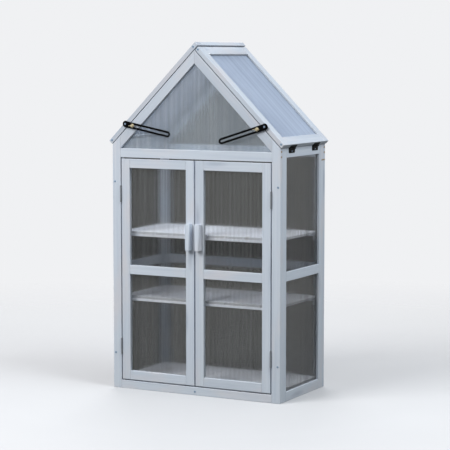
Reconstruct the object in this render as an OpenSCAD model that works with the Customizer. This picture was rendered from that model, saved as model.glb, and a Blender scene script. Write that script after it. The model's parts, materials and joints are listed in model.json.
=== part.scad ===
// Cabinet greenhouse: a lath frame glazed with twin-wall sheets, a pair of doors,
// three slatted levels, and two roof panels hinged at the eaves and held by slotted stays.
// X runs across the front, Y into the depth, Z up. The front faces -Y.

/* [Cabinet] */
// Width over the corner posts
body_w = 740; // [600:1:900]
// Depth from the front frame's face to the back frame's face
body_d = 404; // [340:1:520]
// Height of the outer wall faces up to the eaves
wall_h = 975; // [850:1:1150]
// Width of every lath in the walls and doors
lath_w = 36; // [28:1:44]
// Thickness of every lath in the walls and doors
lath_t = 18; // [16:0.5:22]
// Height of the sill rail under the doors
door_sill_h = 32; // [24:1:44]
// Height of the sill rails of the side and back walls
wall_sill_h = 37; // [28:1:48]
// Underside of the middle rails of the side and back walls
wall_mid_z = 465; // [400:1:530]

/* [Panes] */
// Thickness of the glazing sheets
pane_t = 4; // [3:0.5:5]
// Depth of the glazing grooves in the lath edges
groove_depth = 8; // [6:0.5:10]
// Distance from the outer face of a lath to its groove
groove_setback = 10; // [5:0.5:11]
// Play on each face of a sheet in its groove
pane_slack = 0.2; // [0.1:0.05:0.4]
// Play between a sheet's edge and the bottom of its groove
pane_edge_slack = 0.8; // [0.5:0.1:2]

/* [Doors] */
// Gap between each door and the frame round it
door_gap = 5; // [4:0.5:8]
// Gap between the two doors where they meet
meeting_gap = 6; // [4:0.5:10]
// Underside of the doors' middle rails
door_mid_z = 461; // [400:1:530]
// Width of a door handle
handle_w = 21; // [16:1:30]
// How far a handle stands out from the door
handle_d = 24; // [19:1:28]
// Height of a handle
handle_h = 103; // [80:1:140]
// Underside of the handles
handle_z = 571; // [510:1:650]
// Rounding of a handle's front edges
handle_round = 5; // [3:0.5:7]
// Height of a door hinge
door_hinge_h = 65; // [45:1:80]
// Distance from a door's foot to the middle of its lower hinge
door_hinge_rise = 133; // [80:1:180]
// Distance from a door's top to the middle of its upper hinge
door_hinge_drop = 139; // [80:1:180]

/* [Roof] */
// Thickness of the roof panels
roof_t = 18; // [16:0.5:24]
// Width of the laths in the roof panels
roof_lath_w = 40; // [32:1:50]
// Gap between the roof panels and the frame under them
roof_gap = 3; // [2.5:0.5:8]
// How far the panels run down past the square line from the wall's top corner
eave_reach = 1; // [0.5:0.5:2]
// How far the lapping panel stands past the other panel's face
ridge_lip = 3.5; // [1:0.5:8]
// Gap between the lapped panel's end and the panel above it
ridge_gap = 5; // [4:0.5:8]
// Distance from a roof panel's face to its glazing groove
roof_groove_setback = 8; // [5:0.5:9]
// Width of a roof hinge along the eaves
roof_hinge_w = 54; // [40:1:70]
// Height of a roof hinge's leaf on the wall
roof_hinge_leaf_h = 17; // [14:1:32]
// Height of a roof hinge's leaf on the panel's foot
roof_hinge_foot_h = 13; // [10:0.5:16]
// Distance of the roof hinges from the middle of the depth
roof_hinge_y = 105; // [60:1:130]

/* [Hinge parts] */
// Thickness of the hinge leaves
leaf_t = 1.5; // [1:0.1:2]
// Outer radius of the hinge knuckles
knuckle_r = 3; // [2.6:0.1:3.4]
// Radius of the hinge pins
pin_r = 1.5; // [1:0.1:1.8]
// Radial play between a pin and its knuckle
pin_slack = 0.1; // [0.05:0.05:0.2]
// Play between neighbouring knuckles
knuckle_gap = 0.3; // [0.2:0.1:0.6]

/* [Stays] */
// Thickness of the slotted stays
stay_t = 2; // [1.5:0.1:2.5]
// Width of a stay along its slot
stay_w = 24; // [16:0.5:26]
// Radius of a stay's head round its pivot
stay_head_r = 13; // [10:0.5:14]
// Width of the slot
slot_w = 8.5; // [7:0.5:10]
// Distance from the pivot to the near end of the slot
slot_start = 26; // [24:0.5:27]
// Distance from the pivot to the far end of the slot
slot_end = 197; // [183:0.5:205]
// Gap between the stays and the gable behind them
stay_standoff = 5; // [3:0.5:6]
// Place of a stay's pivot up the slope from the eaves
stay_pivot_up = 103; // [95:0.5:110]
// Radius of the pivot screw
pivot_r = 2.5; // [2:0.1:3]
// Radius of the pivot screw's head and of its spacer
pivot_head_r = 5.5; // [4.5:0.1:7]
// Thickness of the pivot screw's head
pivot_head_t = 2.5; // [1.5:0.1:4]
// Slope of the left stay below level
left_stay_tilt = 11; // [8:0.5:20]
// Slope of the right stay below level
right_stay_tilt = 17.5; // [8:0.5:20]
// Distance from the pivot to the wing nut's bolt
nut_reach = 33; // [32:0.5:36]
// Radius of the wing nut's bolt
bolt_r = 3; // [2:0.1:3.3]
// Radius of the wing nut's hub
nut_r = 5.5; // [4.6:0.1:7]
// Height of the wing nut's hub
nut_h = 6; // [5:0.5:7]
// Reach of each wing from the bolt's axis
wing_reach = 14; // [11:0.5:16]
// Height of the wings
wing_h = 9; // [7:0.5:10]
// Thickness of the wings
wing_t = 2; // [1.5:0.1:3]
// Play between the bolt's end and the rafter, and round the stay
seat_gap = 0.3; // [0.2:0.05:0.5]

/* [Shelves] */
// Top of the floor
floor_top = 45; // [42:1:60]
// Top of the lower shelf
lower_shelf_top = 371; // [300:1:420]
// Top of the upper shelf
upper_shelf_top = 630; // [540:1:720]
// Thickness of the slats
slat_t = 10; // [8:0.5:12]
// Number of slats on a level
slat_count = 9; // [6:1:14]
// Gap between neighbouring slats
slat_gap = 2; // [1:0.5:5]
// Height of the battens under the slats
batten_h = 10; // [8:0.5:12]
// Width of the battens under the slats
batten_w = 20; // [14:1:28]
// Distance of the shelf edges from the front and back faces
shelf_inset = 32; // [26:1:44]
// Play between a shelf's end and the side walls
shelf_end_gap = 2; // [1:0.5:4]
// Width of the cleats that carry the battens
cleat_w = 12; // [10:0.5:18]
// Height of the cleats that carry the battens
cleat_h = 15; // [12:0.5:18]

/* [Hidden] */
$fn = 48;
overrun = 1;
roof_pitch = 45;
frame_colour = [0.72, 0.77, 0.83];
pane_colour = [0.62, 0.66, 0.72, 0.6];
iron_colour = [0.1, 0.1, 0.11];
brass_colour = [0.78, 0.68, 0.45];
slat_colour = [0.78, 0.8, 0.82];

// Each hinge has a knuckle at both ends and one between them
end_knuckle_share = 0.3;
// How much of a leaf's reach its cut corners take
leaf_taper_share = 0.22;
// Outline of a wing, as shares of its reach and height
wing_shares = [[0, 0.05], [0.45, 0.2], [0.8, 0.45], [1, 0.72], [0.95, 0.95], [0.75, 1], [0.45, 0.8], [0, 0.6]];

front_y = handle_d - (body_d + handle_d) / 2;
back_y = front_y + body_d;
half_w = body_w / 2;
inner_x = half_w - lath_t;
post_x = half_w - lath_w;
groove_w = pane_t + 2 * pane_slack;
pane_seat = groove_depth - pane_edge_slack;
slope_lath = lath_w / cos(roof_pitch);
slope_groove = groove_depth / cos(roof_pitch);
ridge_z = wall_h + half_w * tan(roof_pitch);
rafter_inner_z = ridge_z - slope_lath;
head_top = rafter_inner_z - post_x * tan(roof_pitch);
head_low = head_top - lath_w;
wall_top_low = wall_h - lath_w;

// Doors: outer edge, meeting edge, top and bottom
door_out = post_x - door_gap;
door_in = meeting_gap / 2;
door_low = door_sill_h + door_gap;
door_top = head_low - door_gap;
door_pin_x = post_x - door_gap / 2;
door_pin_y = front_y - knuckle_r;

// Lower corner of a roof panel's foot, square off the wall's top corner
eave_x = half_w + roof_gap * sin(roof_pitch);
eave_z = wall_h + roof_gap * cos(roof_pitch);
ridge_run = eave_x / cos(roof_pitch);
left_run = ridge_run + roof_t + ridge_lip;
right_run = ridge_run - ridge_gap;
roof_pin_x = half_w + knuckle_r;
roof_pin_up = -eave_reach - knuckle_r;
roof_pin_z = eave_z - (eave_x - roof_pin_x) + roof_pin_up / cos(roof_pitch);

// Stays: pivot on the middle of a roof panel's edge
stay_pivot_x = eave_x - stay_pivot_up * cos(roof_pitch) + roof_t / 2 * sin(roof_pitch);
stay_pivot_z = eave_z + stay_pivot_up * sin(roof_pitch) + roof_t / 2 * cos(roof_pitch);
stay_back_y = front_y - stay_standoff;
stay_front_y = stay_back_y - stay_t;

shelf_front = front_y + shelf_inset;
shelf_back = back_y - shelf_inset;
shelf_half = inner_x - shelf_end_gap;
slat_w = (2 * shelf_half - (slat_count - 1) * slat_gap) / slat_count;
level_tops = [floor_top, lower_shelf_top, upper_shelf_top];

// Box from its lowest to its highest corner
module block(low, high) {
  translate(low) cube(high - low);
}

// Outline in X and Z, drawn out from y0 to y1
module front_slab(y0, y1) {
  translate([0, y1, 0]) rotate([90, 0, 0]) linear_extrude(y1 - y0) children();
}

// Outline in Y and Z, drawn out from x0 to x1
module side_slab(x0, x1) {
  translate([x0, 0, 0]) rotate([90, 0, 90]) linear_extrude(x1 - x0) children();
}

// Flat rectangle between two corners
module rectangle(low, high) {
  translate(low) square(high - low);
}

module flipped(flip) {
  mirror([flip ? 1 : 0, 0, 0]) children();
}

// Places a left roof panel: X up the slope from the eaves, Z out through its face
module left_slope() {
  translate([-eave_x, 0, eave_z]) rotate([0, -roof_pitch, 0]) children();
}

// The front and back frames share their outlines, drawn at one face or the other
module gable_member(at_back) {
  y0 = at_back ? back_y - lath_t : front_y;
  front_slab(y0, y0 + lath_t) children();
}

module gable_groove(at_back) {
  y0 = at_back ? back_y - groove_setback - groove_w : front_y + groove_setback;
  front_slab(y0, y0 + groove_w) children();
}

module gable_sheet(at_back) {
  y0 = at_back ? back_y - groove_setback - pane_slack - pane_t : front_y + groove_setback + pane_slack;
  front_slab(y0, y0 + pane_t) children();
}

module post_outline() {
  polygon([[post_x, 0], [half_w, 0], [half_w, wall_h], [post_x, ridge_z - post_x * tan(roof_pitch)]]);
}

module rafter_outline() {
  polygon([[0, rafter_inner_z], [post_x, head_top], [post_x, head_top + slope_lath], [0, ridge_z]]);
}

module rafter_groove_outline() {
  polygon([
    [-overrun, rafter_inner_z - slope_lath], [post_x + overrun, head_top - slope_lath],
    [post_x + overrun, head_top + slope_groove - overrun * tan(roof_pitch)],
    [-overrun, rafter_inner_z + slope_groove + overrun * tan(roof_pitch)]
  ]);
}

// Sheet of a gable, let into the rafters and the head rail
module gable_outline() {
  low = head_top - pane_seat;
  seat_z = rafter_inner_z + pane_seat / cos(roof_pitch);
  side = post_x - pane_edge_slack;
  polygon([[-side, low], [side, low], [side, seat_z - side * tan(roof_pitch)], [0, seat_z],
    [-side, seat_z - side * tan(roof_pitch)]]);
}

module post_pair(at_back) {
  color(frame_colour) for (flip = [false, true]) flipped(flip) difference() {
    gable_member(at_back) post_outline();
    if (at_back) gable_groove(at_back)
      rectangle([post_x - overrun, wall_sill_h - groove_depth], [post_x + groove_depth, head_top]);
  }
}

module rafter(at_back, flip) {
  color(frame_colour) flipped(flip) difference() {
    gable_member(at_back) rafter_outline();
    gable_groove(at_back) rafter_groove_outline();
  }
}

// Rail across a gable frame, grooved below, above or both
module gable_rail(at_back, low, high, groove_below, groove_above) {
  difference() {
    gable_member(at_back) rectangle([-post_x, low], [post_x, high]);
    if (groove_below) gable_groove(at_back)
      rectangle([-post_x - overrun, low - overrun], [post_x + overrun, low + groove_depth]);
    if (groove_above) gable_groove(at_back)
      rectangle([-post_x - overrun, high - groove_depth], [post_x + overrun, high + overrun]);
  }
}

module front_posts() { post_pair(false); }
module front_left_rafter() { rafter(false, true); }
module front_right_rafter() { rafter(false, false); }
module back_posts() { post_pair(true); }
module back_left_rafter() { rafter(true, true); }
module back_right_rafter() { rafter(true, false); }

module front_rails() {
  color(frame_colour) {
    gable_rail(false, 0, door_sill_h, false, false);
    gable_rail(false, head_low, head_top, false, true);
  }
}

module back_rails() {
  color(frame_colour) {
    gable_rail(true, 0, wall_sill_h, false, true);
    gable_rail(true, wall_mid_z, wall_mid_z + lath_w, true, true);
    gable_rail(true, head_low, head_top, true, true);
  }
}

module front_gable_pane() { color(pane_colour) gable_sheet(false) gable_outline(); }
module back_gable_pane() { color(pane_colour) gable_sheet(true) gable_outline(); }

module back_panes() {
  reach = post_x + pane_seat;
  color(pane_colour) {
    gable_sheet(true) rectangle([-reach, wall_sill_h - pane_seat], [reach, wall_mid_z + pane_seat]);
    gable_sheet(true) rectangle([-reach, wall_mid_z + lath_w - pane_seat], [reach, head_low + pane_seat]);
  }
}

// Side walls, built on the right and mirrored for the left
side_front = front_y + lath_t;
side_back = back_y - lath_t;
opening_front = side_front + lath_w;
opening_back = side_back - lath_w;
side_groove_x = half_w - groove_setback - groove_w;

// Bevelled tops of the side walls follow the roof
module roof_line_cut() {
  front_slab(front_y - overrun, back_y + overrun)
    polygon([[half_w + overrun, wall_h - overrun], [half_w + overrun, ridge_z], [post_x, ridge_z],
      [post_x, ridge_z - post_x * tan(roof_pitch)]]);
}

module side_stiles(flip) {
  top = ridge_z - inner_x * tan(roof_pitch);
  color(frame_colour) flipped(flip) for (at_back = [false, true]) {
    y0 = at_back ? opening_back : side_front;
    edge = at_back ? opening_back : opening_front - groove_depth;
    difference() {
      block([inner_x, y0, 0], [half_w, y0 + lath_w, top]);
      block([side_groove_x, edge - (at_back ? overrun : 0), wall_sill_h - groove_depth],
        [side_groove_x + groove_w, edge + groove_depth + (at_back ? 0 : overrun), wall_top_low + groove_depth]);
      roof_line_cut();
    }
  }
}

// Rail between the side stiles, grooved below, above or both
module side_rail(low, high, groove_below, groove_above) {
  difference() {
    block([inner_x, opening_front, low], [half_w, opening_back, high]);
    if (groove_below)
      block([side_groove_x, opening_front - overrun, low - overrun],
        [side_groove_x + groove_w, opening_back + overrun, low + groove_depth]);
    if (groove_above)
      block([side_groove_x, opening_front - overrun, high - groove_depth],
        [side_groove_x + groove_w, opening_back + overrun, high + overrun]);
    roof_line_cut();
  }
}

module side_rails(flip) {
  color(frame_colour) flipped(flip) {
    side_rail(0, wall_sill_h, false, true);
    side_rail(wall_mid_z, wall_mid_z + lath_w, true, true);
    side_rail(wall_top_low, ridge_z - inner_x * tan(roof_pitch), true, false);
  }
}

module side_panes(flip) {
  x0 = side_groove_x + pane_slack;
  color(pane_colour) flipped(flip) side_slab(x0, x0 + pane_t) {
    rectangle([opening_front - pane_seat, wall_sill_h - pane_seat],
      [opening_back + pane_seat, wall_mid_z + pane_seat]);
    rectangle([opening_front - pane_seat, wall_mid_z + lath_w - pane_seat],
      [opening_back + pane_seat, wall_top_low + pane_seat]);
  }
}

module left_side_stiles() { side_stiles(true); }
module left_side_rails() { side_rails(true); }
module left_side_panes() { side_panes(true); }
module right_side_stiles() { side_stiles(false); }
module right_side_rails() { side_rails(false); }
module right_side_panes() { side_panes(false); }

// Slats of one level, running from front to back
module slats(top) {
  color(slat_colour) for (i = [0 : slat_count - 1]) {
    x0 = -shelf_half + i * (slat_w + slat_gap);
    block([x0, shelf_front, top - slat_t], [x0 + slat_w, shelf_back, top]);
  }
}

module floor_slats() { slats(floor_top); }
module lower_shelf_slats() { slats(lower_shelf_top); }
module upper_shelf_slats() { slats(upper_shelf_top); }

module shelf_battens() {
  color(frame_colour) for (top = level_tops, y0 = [shelf_front, shelf_back - batten_w])
    block([-shelf_half, y0, top - slat_t - batten_h], [shelf_half, y0 + batten_w, top - slat_t]);
}

// Short cleats on the side stiles, under the ends of the battens
module shelf_cleats() {
  color(frame_colour) for (top = level_tops, y0 = [shelf_front, shelf_back - batten_w], flip = [false, true])
    flipped(flip) {
      high = top - slat_t - batten_h;
      block([inner_x - cleat_w, y0, high - cleat_h], [inner_x, y0 + batten_w, high]);
    }
}

// Stretches of a hinge along its pin: both ends, or the middle
function hinge_stretches(span, middle) =
  let (end = span * end_knuckle_share)
  middle ? [[end + knuckle_gap, span - end - knuckle_gap]] : [[0, end], [span - end, span]];

// Leaf of a door hinge. The pin stands along Z at the origin, the leaf runs back along Y.
module door_leaf(middle, side) {
  leaf_x = side * (door_gap / 2 - leaf_t / 2);
  leaf_back = knuckle_r + lath_t - leaf_t;
  translate([0, 0, -door_hinge_h / 2]) {
    block([leaf_x - leaf_t / 2, knuckle_r + knuckle_gap, 0], [leaf_x + leaf_t / 2, leaf_back, door_hinge_h]);
    difference() {
      for (part = hinge_stretches(door_hinge_h, middle)) {
        translate([0, 0, part[0]]) cylinder(r = knuckle_r, h = part[1] - part[0]);
        block([leaf_x - leaf_t / 2, 0, part[0]], [leaf_x + leaf_t / 2, knuckle_r + knuckle_gap, part[1]]);
      }
      if (middle) translate([0, 0, -overrun]) cylinder(r = pin_r + pin_slack, h = door_hinge_h + 2 * overrun);
    }
    if (!middle) cylinder(r = pin_r, h = door_hinge_h);
  }
}

module door_leaves(middle, flip) {
  color(iron_colour) flipped(flip) for (z = [door_low + door_hinge_rise, door_top - door_hinge_drop])
    translate([door_pin_x, door_pin_y, z]) door_leaf(middle, middle ? -1 : 1);
}

module door_hinge_post_leaves() {
  door_leaves(false, false);
  door_leaves(false, true);
}
module left_door_hinge_leaves() { door_leaves(true, true); }
module right_door_hinge_leaves() { door_leaves(true, false); }

// Doors, built on the right and mirrored for the left
module door_groove(low, high) {
  y0 = front_y + groove_setback;
  front_slab(y0, y0 + groove_w) rectangle(low, high);
}

module door_stiles(flip) {
  color(frame_colour) flipped(flip) {
    difference() {
      front_slab(front_y, front_y + lath_t) rectangle([door_in, door_low], [door_in + lath_w, door_top]);
      door_groove([door_in + lath_w - groove_depth, door_low + lath_w - groove_depth],
        [door_in + lath_w + overrun, door_top - lath_w + groove_depth]);
    }
    difference() {
      front_slab(front_y, front_y + lath_t) rectangle([door_out - lath_w, door_low], [door_out, door_top]);
      door_groove([door_out - lath_w - overrun, door_low + lath_w - groove_depth],
        [door_out - lath_w + groove_depth, door_top - lath_w + groove_depth]);
    }
  }
}

module door_rail(low, groove_below, groove_above) {
  x0 = door_in + lath_w;
  x1 = door_out - lath_w;
  high = low + lath_w;
  difference() {
    front_slab(front_y, front_y + lath_t) rectangle([x0, low], [x1, high]);
    if (groove_below) door_groove([x0 - overrun, low - overrun], [x1 + overrun, low + groove_depth]);
    if (groove_above) door_groove([x0 - overrun, high - groove_depth], [x1 + overrun, high + overrun]);
  }
}

module door_rails(flip) {
  color(frame_colour) flipped(flip) {
    door_rail(door_low, false, true);
    door_rail(door_mid_z, true, true);
    door_rail(door_top - lath_w, true, false);
  }
}

module door_panes(flip) {
  x0 = door_in + lath_w - pane_seat;
  x1 = door_out - lath_w + pane_seat;
  color(pane_colour) flipped(flip) gable_sheet(false) {
    rectangle([x0, door_low + lath_w - pane_seat], [x1, door_mid_z + pane_seat]);
    rectangle([x0, door_mid_z + lath_w - pane_seat], [x1, door_top - lath_w + pane_seat]);
  }
}

// Handle with rounded front edges, standing on the middle of the meeting stile
module door_handle(flip) {
  half = handle_w / 2;
  round_y = handle_round - handle_d;
  color(frame_colour) flipped(flip) translate([door_in + lath_w / 2, front_y, handle_z])
    linear_extrude(handle_h) union() {
      rectangle([-half, round_y], [half, 0]);
      rectangle([handle_round - half, -handle_d], [half - handle_round, 0]);
      for (x = [handle_round - half, half - handle_round])
        translate([x, round_y]) circle(r = handle_round);
    }
}

module left_door_stiles() { door_stiles(true); }
module left_door_rails() { door_rails(true); }
module left_door_panes() { door_panes(true); }
module left_door_handle() { door_handle(true); }
module right_door_stiles() { door_stiles(false); }
module right_door_rails() { door_rails(false); }
module right_door_panes() { door_panes(false); }
module right_door_handle() { door_handle(false); }

// Roof panels, built on the left slope and mirrored for the right
roof_groove_z = roof_t - roof_groove_setback - groove_w;
roof_open_front = front_y + roof_lath_w;
roof_open_back = back_y - roof_lath_w;

module roof_groove(low, high) {
  block([low[0], low[1], roof_groove_z], [high[0], high[1], roof_groove_z + groove_w]);
}

module roof_stiles(run, flip) {
  open_low = roof_lath_w - eave_reach;
  open_high = run - roof_lath_w;
  color(frame_colour) flipped(flip) left_slope() for (at_back = [false, true]) {
    y0 = at_back ? roof_open_back : front_y;
    edge = at_back ? roof_open_back - overrun : roof_open_front - groove_depth;
    difference() {
      block([-eave_reach, y0, 0], [run, y0 + roof_lath_w, roof_t]);
      roof_groove([open_low - groove_depth, edge], [open_high + groove_depth, edge + groove_depth + overrun]);
    }
  }
}

module roof_rails(run, flip) {
  open_low = roof_lath_w - eave_reach;
  open_high = run - roof_lath_w;
  color(frame_colour) flipped(flip) left_slope() {
    difference() {
      block([-eave_reach, roof_open_front, 0], [open_low, roof_open_back, roof_t]);
      roof_groove([open_low - groove_depth, roof_open_front - overrun], [open_low + overrun, roof_open_back + overrun]);
    }
    difference() {
      block([open_high, roof_open_front, 0], [run, roof_open_back, roof_t]);
      roof_groove([open_high - overrun, roof_open_front - overrun],
        [open_high + groove_depth, roof_open_back + overrun]);
    }
  }
}

module roof_pane(run, flip) {
  low = roof_lath_w - eave_reach - pane_seat;
  high = run - roof_lath_w + pane_seat;
  z0 = roof_groove_z + pane_slack;
  color(pane_colour) flipped(flip) left_slope()
    block([low, roof_open_front - pane_seat, z0], [high, roof_open_back + pane_seat, z0 + pane_t]);
}

// Tapered outline of a hinge leaf: the pin's side is at zero, the far side at reach
module leaf_outline(span, near, reach) {
  cut = (reach - near) * leaf_taper_share;
  polygon([[0, near], [span, near], [span, reach - cut], [span - cut, reach], [cut, reach], [0, reach - cut]]);
}

// Knuckles of a roof hinge along Y, from y = 0 to its width
module roof_knuckles(middle) {
  difference() {
    for (part = hinge_stretches(roof_hinge_w, middle))
      translate([0, part[1], 0]) rotate([90, 0, 0]) cylinder(r = knuckle_r, h = part[1] - part[0]);
    if (middle)
      translate([0, roof_hinge_w + overrun, 0]) rotate([90, 0, 0])
        cylinder(r = pin_r + pin_slack, h = roof_hinge_w + 2 * overrun);
  }
  if (!middle) translate([0, roof_hinge_w, 0]) rotate([90, 0, 0]) cylinder(r = pin_r, h = roof_hinge_w);
}

// Leaf on the wall: hangs down the wall's face from the pin, on the left side
module roof_wall_leaf() {
  roof_knuckles(false);
  translate([knuckle_r - leaf_t, 0, 0]) {
    translate([0, 0, -knuckle_r - knuckle_gap]) mirror([0, 0, 1])
      side_slab(0, leaf_t) leaf_outline(roof_hinge_w, 0, roof_hinge_leaf_h - knuckle_r);
    for (part = hinge_stretches(roof_hinge_w, false))
      block([0, part[0], -knuckle_r - knuckle_gap], [leaf_t, part[1], 0]);
  }
}

// Leaf on the panel: lies on the panel's foot, in the slope's own directions
module roof_panel_leaf() {
  pin_drop = ((roof_pin_x - eave_x) + (roof_pin_z - eave_z)) * cos(roof_pitch);
  foot = -eave_reach;
  translate([foot - leaf_t, 0, 0])
    side_slab(0, leaf_t) leaf_outline(roof_hinge_w, pin_drop + knuckle_r + knuckle_gap, roof_hinge_foot_h);
  for (part = hinge_stretches(roof_hinge_w, true))
    block([foot - leaf_t, part[0], pin_drop], [foot, part[1], pin_drop + knuckle_r + knuckle_gap + leaf_t]);
  translate([roof_pin_up, 0, pin_drop]) roof_knuckles(true);
}

function hinge_starts() = [for (side = [-1, 1]) (front_y + back_y) / 2 + side * roof_hinge_y - roof_hinge_w / 2];

module roof_hinge_wall_leaves() {
  color(iron_colour) for (flip = [false, true], y0 = hinge_starts())
    flipped(flip) translate([-roof_pin_x, y0, roof_pin_z]) roof_wall_leaf();
}

// Round bar along Y from a far face to a near one
module peg(r, y_far, y_near) {
  translate([0, y_far, 0]) rotate([90, 0, 0]) cylinder(r = r, h = y_far - y_near);
}

// Hinge leaves on the panel's foot, and the screw and spacer that the stay turns on
module roof_fittings(flip) {
  color(iron_colour) flipped(flip) {
    left_slope() for (y0 = hinge_starts()) translate([0, y0, 0]) roof_panel_leaf();
    translate([-stay_pivot_x, 0, stay_pivot_z]) {
      peg(pivot_head_r, front_y, stay_back_y + seat_gap);
      peg(pivot_r, front_y, stay_front_y - seat_gap - pivot_head_t);
      peg(pivot_head_r, stay_front_y - seat_gap, stay_front_y - seat_gap - pivot_head_t);
    }
  }
}

module left_roof_stiles() { roof_stiles(left_run, false); }
module left_roof_rails() { roof_rails(left_run, false); }
module left_roof_pane() { roof_pane(left_run, false); }
module left_roof_fittings() { roof_fittings(false); }
module right_roof_stiles() { roof_stiles(right_run, true); }
module right_roof_rails() { roof_rails(right_run, true); }
module right_roof_pane() { roof_pane(right_run, true); }
module right_roof_fittings() { roof_fittings(true); }

// Slotted stay with a round head, drawn from its pivot towards the middle of the gable
module stay_outline() {
  slot_r = slot_w / 2;
  far = slot_end - slot_r;
  near = slot_start + slot_r;
  difference() {
    union() {
      circle(r = stay_head_r);
      rectangle([0, -stay_w / 2], [far, stay_w / 2]);
      translate([far, 0]) circle(r = stay_w / 2);
    }
    circle(r = pivot_r + pin_slack);
    rectangle([near, -slot_r], [far, slot_r]);
    translate([near, 0]) circle(r = slot_r);
    translate([far, 0]) circle(r = slot_r);
  }
}

module stay(tilt, flip) {
  color(iron_colour) flipped(flip) front_slab(stay_front_y, stay_back_y)
    translate([-stay_pivot_x, stay_pivot_z]) rotate(-tilt) stay_outline();
}

// Bolt, washer and wing nut, standing in the stay's slot
module wing_nut(tilt, flip) {
  washer_y = stay_front_y - seat_gap;
  hub_y = washer_y - stay_t;
  nut_x = -stay_pivot_x + nut_reach * cos(tilt);
  nut_z = stay_pivot_z - nut_reach * sin(tilt);
  color(brass_colour) flipped(flip) translate([nut_x, 0, nut_z]) {
    peg(bolt_r, front_y - seat_gap, hub_y - nut_h);
    peg(nut_r + stay_t, washer_y, hub_y);
    peg(nut_r, hub_y, hub_y - nut_h);
    for (side = [0, 1]) mirror([side, 0, 0]) translate([0, hub_y, -wing_t / 2]) mirror([0, 1, 0])
      linear_extrude(wing_t) polygon([for (p = wing_shares) [p[0] * wing_reach, p[1] * wing_h]]);
  }
}

module left_stay() { stay(left_stay_tilt, false); }
module right_stay() { stay(right_stay_tilt, true); }
module left_wing_nut() { wing_nut(left_stay_tilt, false); }
module right_wing_nut() { wing_nut(right_stay_tilt, true); }

front_posts();
front_rails();
front_left_rafter();
front_right_rafter();
front_gable_pane();
back_posts();
back_rails();
back_left_rafter();
back_right_rafter();
back_gable_pane();
back_panes();
left_side_stiles();
left_side_rails();
left_side_panes();
right_side_stiles();
right_side_rails();
right_side_panes();
floor_slats();
lower_shelf_slats();
upper_shelf_slats();
shelf_battens();
shelf_cleats();
door_hinge_post_leaves();
roof_hinge_wall_leaves();
left_door_stiles();
left_door_rails();
left_door_panes();
left_door_handle();
left_door_hinge_leaves();
right_door_stiles();
right_door_rails();
right_door_panes();
right_door_handle();
right_door_hinge_leaves();
left_roof_stiles();
left_roof_rails();
left_roof_pane();
left_roof_fittings();
right_roof_stiles();
right_roof_rails();
right_roof_pane();
right_roof_fittings();
left_stay();
right_stay();
left_wing_nut();
right_wing_nut();
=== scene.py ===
# %% [markdown]
# # A cabinet greenhouse
# The imported model gives every piece its true place and size. This lesson dresses it: stained laths with
# grain, fluted twin-wall sheets, black stays, brass wing nuts, screws and corrugated strips.
# The first cell loads the model and keeps its box.

import json
import math
import random

import bmesh
import bpy
from mathutils import Matrix, Vector

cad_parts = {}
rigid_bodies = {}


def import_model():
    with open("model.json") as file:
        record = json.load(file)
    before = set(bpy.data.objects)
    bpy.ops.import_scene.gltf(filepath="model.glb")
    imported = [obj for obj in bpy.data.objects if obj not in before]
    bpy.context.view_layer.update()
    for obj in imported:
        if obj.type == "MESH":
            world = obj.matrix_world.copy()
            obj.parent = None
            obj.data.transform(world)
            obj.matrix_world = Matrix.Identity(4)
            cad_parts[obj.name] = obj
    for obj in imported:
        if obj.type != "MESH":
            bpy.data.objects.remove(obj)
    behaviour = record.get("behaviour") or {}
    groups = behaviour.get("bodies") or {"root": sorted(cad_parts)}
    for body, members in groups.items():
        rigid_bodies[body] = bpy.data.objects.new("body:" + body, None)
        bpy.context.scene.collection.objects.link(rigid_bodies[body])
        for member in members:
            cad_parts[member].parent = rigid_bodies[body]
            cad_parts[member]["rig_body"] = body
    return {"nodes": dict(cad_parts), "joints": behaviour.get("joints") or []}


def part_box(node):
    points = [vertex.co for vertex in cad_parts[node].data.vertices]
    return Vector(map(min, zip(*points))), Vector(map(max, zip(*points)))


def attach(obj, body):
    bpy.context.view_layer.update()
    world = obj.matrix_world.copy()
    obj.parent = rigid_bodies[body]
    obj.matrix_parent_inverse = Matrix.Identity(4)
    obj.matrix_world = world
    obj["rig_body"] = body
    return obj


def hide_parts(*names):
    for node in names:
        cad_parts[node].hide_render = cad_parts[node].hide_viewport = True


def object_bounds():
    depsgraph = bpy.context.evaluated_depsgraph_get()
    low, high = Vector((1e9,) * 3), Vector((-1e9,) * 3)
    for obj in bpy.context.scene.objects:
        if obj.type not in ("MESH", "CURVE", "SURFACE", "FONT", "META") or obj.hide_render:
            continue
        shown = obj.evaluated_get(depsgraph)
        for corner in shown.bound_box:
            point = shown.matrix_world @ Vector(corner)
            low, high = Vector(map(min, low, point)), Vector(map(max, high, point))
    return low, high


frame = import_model()
cad_low, cad_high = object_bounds()
middle = (cad_low + cad_high) / 2
print("CAD box", [round(v, 3) for v in cad_high - cad_low], "metres,", len(frame["nodes"]), "nodes")

# %% [markdown]
# ## The camera
# The greenhouse is seen from a little above its middle, turned so that the front and the right side show.
# A long lens far away keeps the uprights nearly parallel. The camera tilts down instead of shifting its
# frame, so it also works when it is moved round the object.

# %% Place the camera
CAMERA_PLACE = (3.1683, -5.9403, 1.3203)
CAMERA_YAW = 27.8218
CAMERA_PITCH = 5.6553
CAMERA_LENS = 136.05
SENSOR_WIDTH = 36.0


def add_object(name, data):
    """A new object in the scene."""
    made = bpy.data.objects.new(name, data)
    bpy.context.scene.collection.objects.link(made)
    return made


camera_data = bpy.data.cameras.new("camera")
camera_data.lens = CAMERA_LENS
camera_data.sensor_width = SENSOR_WIDTH
camera = add_object("camera", camera_data)
camera.location = CAMERA_PLACE
camera.rotation_euler = (math.radians(90 - CAMERA_PITCH), 0, math.radians(CAMERA_YAW))
bpy.context.scene.camera = camera
bpy.context.scene.view_settings.view_transform = "Standard"
print("camera", round((camera.location - middle).length, 2), "m from the middle")

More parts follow.
